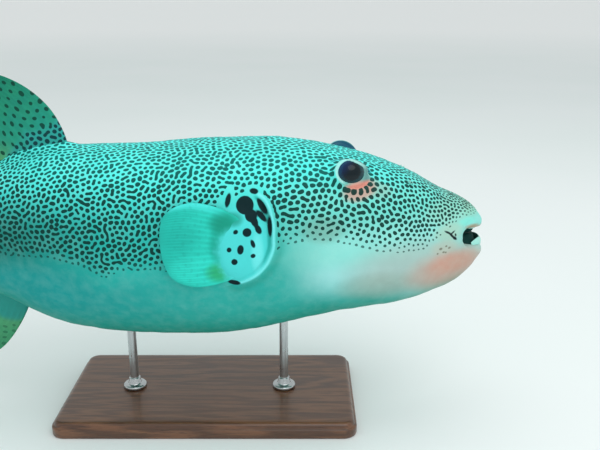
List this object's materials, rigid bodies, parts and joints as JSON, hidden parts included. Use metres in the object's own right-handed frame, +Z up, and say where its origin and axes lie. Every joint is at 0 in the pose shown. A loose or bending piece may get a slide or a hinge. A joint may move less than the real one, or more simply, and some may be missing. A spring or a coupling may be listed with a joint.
{
  "type": "pufferfish",
  "caption": "Life-size still model of an adult starry pufferfish swimming level, mouth slightly open, carried by rods on a flat display base.",
  "frame": {"origin": "on the floor, under the middle of the model's overall box", "axes": "+X towards the fish's head, +Z up, the fish's right side faces -Y"},
  "size_m": [0.7398, 0.1926, 0.3458],
  "materials": {
    "skin": "satin skin, pale aqua back with dense dark spots, white belly",
    "fin": "satin olive-green membrane with rays and dark dots",
    "eye": "wet dark blue-black eye",
    "tooth": "ivory tooth plate",
    "wood": "dark walnut, satin varnish",
    "steel": "brushed stainless rod"
  },
  "bodies": {
    "root": {"head": "skin", "lower_jaw": "skin", "trunk": "skin", "tail": "skin", "dorsal_fin": "fin", "anal_fin": "fin", "tail_fin": "fin", "pectoral_fin_right": "fin", "pectoral_fin_left": "fin", "eye_right": "eye", "eye_left": "eye", "nostril_right": "skin", "nostril_left": "skin", "tooth_upper_right": "tooth", "tooth_lower_right": "tooth", "tooth_upper_left": "tooth", "tooth_lower_left": "tooth", "stand_base": "wood", "stand_rod_front": "steel", "stand_rod_rear": "steel"}
  },
  "joints": []
}
